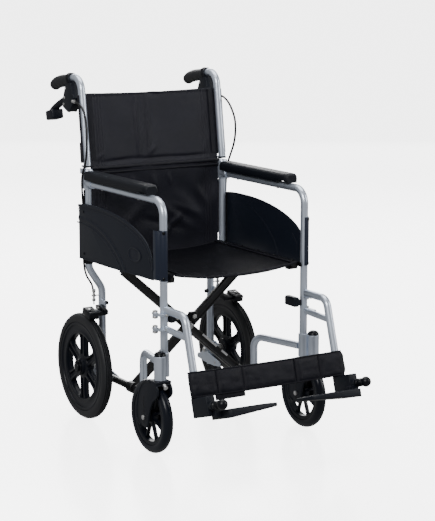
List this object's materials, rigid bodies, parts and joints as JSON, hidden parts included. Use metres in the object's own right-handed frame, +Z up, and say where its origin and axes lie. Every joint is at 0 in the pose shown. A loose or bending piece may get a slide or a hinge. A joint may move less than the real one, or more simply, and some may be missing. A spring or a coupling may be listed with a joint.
{
  "type": "manual wheelchair",
  "caption": "Folding attendant-propelled wheelchair: silver tube side frames, cross brace, black slings, swivel casters, swing-away footrests and a fold-down back.",
  "frame": {"origin": "on the floor, under the middle of the chair's box", "axes": "+Z up, the front faces -Y, the occupant's left is +X"},
  "size_m": [0.548, 0.9738, 0.984],
  "materials": {
    "silver_tube": "clear anodised, satin",
    "steel": "zinc-plated, satin",
    "black_paint": "satin black powder coat",
    "black_plastic": "fine moulded grain",
    "tyre_rubber": "matt rubber",
    "grip_rubber": "matt rubber",
    "black_nylon": "woven coated nylon",
    "cable_jacket": "smooth jacket"
  },
  "bodies": {
    "right_frame": {"right_front_post": "silver_tube", "right_rear_tube": "silver_tube", "right_rear_post": "silver_tube", "right_j_tube": "silver_tube", "right_lower_rail": "black_paint", "right_caster_housing": "silver_tube", "right_axle_plate": "silver_tube", "right_rear_axle": "steel", "right_arm_pad": "black_plastic", "right_skirt_guard": "black_plastic", "right_rail_cradle": "black_plastic", "right_brake_cable": "cable_jacket", "back_sling_lower": "black_nylon", "calf_strap": "black_nylon"},
    "brace_front": {"cross_arm_front": "black_paint", "seat_sling": "black_nylon"},
    "brace_rear": {"cross_arm_rear": "black_paint"},
    "left_frame": {"left_front_post": "silver_tube", "left_rear_tube": "silver_tube", "left_rear_post": "silver_tube", "left_j_tube": "silver_tube", "left_lower_rail": "black_paint", "left_caster_housing": "silver_tube", "left_axle_plate": "silver_tube", "left_rear_axle": "steel", "left_arm_pad": "black_plastic", "left_skirt_guard": "black_plastic", "left_rail_cradle": "black_plastic", "left_brake_cable": "cable_jacket"},
    "right_back": {"right_back_tube": "silver_tube", "right_push_grip": "grip_rubber", "right_lever_mount": "black_plastic", "back_sling_upper": "black_nylon"},
    "right_brake_lever": {"right_brake_lever": "black_plastic"},
    "right_lock_lever": {"right_lock_lever": "black_plastic"},
    "right_brake_shoe": {"right_brake_shoe": "black_plastic"},
    "right_rear_wheel": {"right_rear_wheel": "black_plastic", "right_rear_tyre": "tyre_rubber"},
    "right_caster_fork": {"right_caster_fork": "black_plastic"},
    "right_caster_wheel": {"right_caster_wheel": "black_plastic", "right_caster_tyre": "tyre_rubber"},
    "right_hanger": {"right_hanger": "silver_tube", "right_heel_block": "black_plastic"},
    "right_footplate": {"right_footplate": "black_plastic"},
    "right_release_lever": {"right_release_lever": "black_plastic"},
    "left_back": {"left_back_tube": "silver_tube", "left_push_grip": "grip_rubber", "left_lever_mount": "black_plastic"},
    "left_brake_lever": {"left_brake_lever": "black_plastic"},
    "left_lock_lever": {"left_lock_lever": "black_plastic"},
    "left_brake_shoe": {"left_brake_shoe": "black_plastic"},
    "left_rear_wheel": {"left_rear_wheel": "black_plastic", "left_rear_tyre": "tyre_rubber"},
    "left_caster_fork": {"left_caster_fork": "black_plastic"},
    "left_caster_wheel": {"left_caster_wheel": "black_plastic", "left_caster_tyre": "tyre_rubber"},
    "left_hanger": {"left_hanger": "silver_tube", "left_heel_block": "black_plastic"},
    "left_footplate": {"left_footplate": "black_plastic"},
    "left_release_lever": {"left_release_lever": "black_plastic"}
  },
  "joints": [
    {"name": "brace_fold", "type": "hinge", "parent": "right_frame", "child": "brace_front", "pos_m": [-0.181, 0.0759, 0.121], "axis": [0, -1, 0], "range_deg": [0, 38], "deforming": ["seat_sling", "back_sling_lower", "back_sling_upper", "calf_strap"]},
    {"name": "brace_centre", "type": "hinge", "parent": "brace_front", "child": "brace_rear", "pos_m": [0, 0.0979, 0.279], "axis": [0, 1, 0], "range_deg": [0, 76]},
    {"name": "left_frame_hinge", "type": "hinge", "parent": "brace_rear", "child": "left_frame", "pos_m": [0.181, 0.0979, 0.121], "axis": [0, -1, 0], "range_deg": [0, 38]},
    {"name": "right_back_fold", "type": "hinge", "parent": "right_frame", "child": "right_back", "pos_m": [-0.222, 0.2859, 0.7215], "axis": [-1, 0, 0], "range_deg": [0, 115], "deforming": ["right_brake_cable"]},
    {"name": "right_brake_lever_squeeze", "type": "hinge", "parent": "right_back", "child": "right_brake_lever", "pos_m": [-0.222, 0.36194, 0.90827], "axis": [1, 0, 0], "range_deg": [0, 16], "stiffness_Nm_per_rad": 0.8, "springref_deg": -20.05},
    {"name": "right_lock_lever_pull", "type": "hinge", "parent": "right_back", "child": "right_lock_lever", "pos_m": [-0.222, 0.2779, 0.752], "axis": [-1, 0, 0], "range_deg": [0, 14], "stiffness_Nm_per_rad": 0.5, "springref_deg": -17.19},
    {"name": "right_brake_shoe_swing", "type": "hinge", "parent": "right_frame", "child": "right_brake_shoe", "pos_m": [-0.24, 0.2299, 0.322], "axis": [1, 0, 0], "range_deg": [0, 3.2], "stiffness_Nm_per_rad": 2, "springref_deg": -20.05},
    {"name": "right_rear_wheel_spin", "type": "hinge", "parent": "right_frame", "child": "right_rear_wheel", "pos_m": [-0.24, 0.2559, 0.1525], "axis": [1, 0, 0], "continuous": true},
    {"name": "right_caster_swivel", "type": "hinge", "parent": "right_frame", "child": "right_caster_fork", "pos_m": [-0.244, -0.1941, 0.24], "axis": [0, 0, 1], "continuous": true},
    {"name": "right_caster_spin", "type": "hinge", "parent": "right_caster_fork", "child": "right_caster_wheel", "pos_m": [-0.244, -0.1481, 0.1], "axis": [1, 0, 0], "continuous": true},
    {"name": "right_hanger_swing", "type": "hinge", "parent": "right_frame", "child": "right_hanger", "pos_m": [-0.241, -0.1641, 0.37], "axis": [0, 0, -1], "range_deg": [0, 90]},
    {"name": "right_footplate_flip", "type": "hinge", "parent": "right_hanger", "child": "right_footplate", "pos_m": [-0.222, -0.3821, 0.176], "axis": [0, -0.9563, 0.2924], "range_deg": [0, 90]},
    {"name": "right_release_lever_press", "type": "hinge", "parent": "right_frame", "child": "right_release_lever", "pos_m": [-0.204, -0.1771, 0.365], "axis": [0, 0, -1], "range_deg": [0, 16], "stiffness_Nm_per_rad": 0.4, "springref_deg": -17.19},
    {"name": "left_back_fold", "type": "hinge", "parent": "left_frame", "child": "left_back", "pos_m": [0.222, 0.2859, 0.7215], "axis": [-1, 0, 0], "range_deg": [0, 115], "deforming": ["left_brake_cable"]},
    {"name": "left_brake_lever_squeeze", "type": "hinge", "parent": "left_back", "child": "left_brake_lever", "pos_m": [0.222, 0.36194, 0.90827], "axis": [1, 0, 0], "range_deg": [0, 16], "stiffness_Nm_per_rad": 0.8, "springref_deg": -20.05},
    {"name": "left_lock_lever_pull", "type": "hinge", "parent": "left_back", "child": "left_lock_lever", "pos_m": [0.222, 0.2779, 0.752], "axis": [-1, 0, 0], "range_deg": [0, 14], "stiffness_Nm_per_rad": 0.5, "springref_deg": -17.19},
    {"name": "left_brake_shoe_swing", "type": "hinge", "parent": "left_frame", "child": "left_brake_shoe", "pos_m": [0.24, 0.2299, 0.322], "axis": [1, 0, 0], "range_deg": [0, 3.2], "stiffness_Nm_per_rad": 2, "springref_deg": -20.05},
    {"name": "left_rear_wheel_spin", "type": "hinge", "parent": "left_frame", "child": "left_rear_wheel", "pos_m": [0.24, 0.2559, 0.1525], "axis": [1, 0, 0], "continuous": true},
    {"name": "left_caster_swivel", "type": "hinge", "parent": "left_frame", "child": "left_caster_fork", "pos_m": [0.244, -0.1941, 0.24], "axis": [0, 0, 1], "continuous": true},
    {"name": "left_caster_spin", "type": "hinge", "parent": "left_caster_fork", "child": "left_caster_wheel", "pos_m": [0.244, -0.1481, 0.1], "axis": [1, 0, 0], "continuous": true},
    {"name": "left_hanger_swing", "type": "hinge", "parent": "left_frame", "child": "left_hanger", "pos_m": [0.241, -0.1641, 0.37], "axis": [0, 0, 1], "range_deg": [0, 90]},
    {"name": "left_footplate_flip", "type": "hinge", "parent": "left_hanger", "child": "left_footplate", "pos_m": [0.222, -0.3821, 0.176], "axis": [0, 0.9563, -0.2924], "range_deg": [0, 90]},
    {"name": "left_release_lever_press", "type": "hinge", "parent": "left_frame", "child": "left_release_lever", "pos_m": [0.204, -0.1771, 0.365], "axis": [0, 0, 1], "range_deg": [0, 16], "stiffness_Nm_per_rad": 0.4, "springref_deg": -17.19}
  ],
  "couplings": [
    {"joint": "brace_centre", "follows": "brace_fold", "ratio": 2},
    {"joint": "left_frame_hinge", "follows": "brace_fold", "ratio": 1},
    {"joint": "left_back_fold", "follows": "right_back_fold", "ratio": 1},
    {"joint": "right_brake_shoe_swing", "follows": "right_brake_lever_squeeze", "ratio": 0.2},
    {"joint": "right_footplate_flip", "follows": "brace_fold", "ratio": 2.3684},
    {"joint": "left_brake_shoe_swing", "follows": "left_brake_lever_squeeze", "ratio": 0.2},
    {"joint": "left_footplate_flip", "follows": "brace_fold", "ratio": 2.3684}
  ]
}
